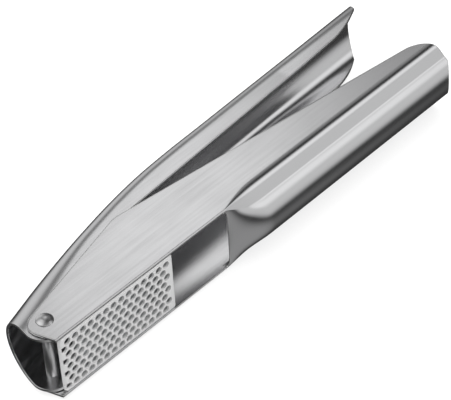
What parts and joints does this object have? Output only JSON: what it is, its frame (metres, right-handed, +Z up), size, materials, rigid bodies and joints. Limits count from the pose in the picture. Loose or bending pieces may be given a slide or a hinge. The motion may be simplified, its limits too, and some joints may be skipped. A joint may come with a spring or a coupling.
{
  "type": "garlic press",
  "caption": "Folded sheet-steel garlic press: a sieve handle with a perforated insert, a long upper lever and a hinged plunger on a cross pin.",
  "frame": {"origin": "centre of the object's box on the surface that it lies on (under the axle's far head)", "axes": "+X along the handles from the pivot to the grips, +Y from the sieve handle towards the lever, +Z up, along the pivot axle"},
  "size_m": [0.1798, 0.0486, 0.0272],
  "materials": {
    "polished_steel": "polished, faint fine brushing",
    "satin_steel": "satin",
    "rivet_steel": "polished",
    "lever_steel": "polished, faint fine brushing",
    "cast_plunger": "satin cast",
    "pin_steel": "turned"
  },
  "bodies": {
    "handle": {"sieve_handle": "polished_steel", "sieve_insert": "satin_steel", "pivot_axle": "rivet_steel"},
    "lever": {"press_lever": "lever_steel", "plunger_pin": "pin_steel"},
    "plunger": {"plunger": "cast_plunger"}
  },
  "joints": [
    {"name": "lever_hinge", "type": "hinge", "parent": "handle", "child": "lever", "pos_m": [-0.08304, -0.0094, 0.0136], "axis": [0, 0, 1], "range_deg": [-7, 90]},
    {"name": "plunger_hinge", "type": "hinge", "parent": "lever", "child": "plunger", "pos_m": [-0.06175, -0.00225, 0.0136], "axis": [0, 0, -1], "range_deg": [-0.5, 5]}
  ],
  "couplings": [
    {"joint": "plunger_hinge", "follows": "lever_hinge", "ratio": 0.05}
  ]
}
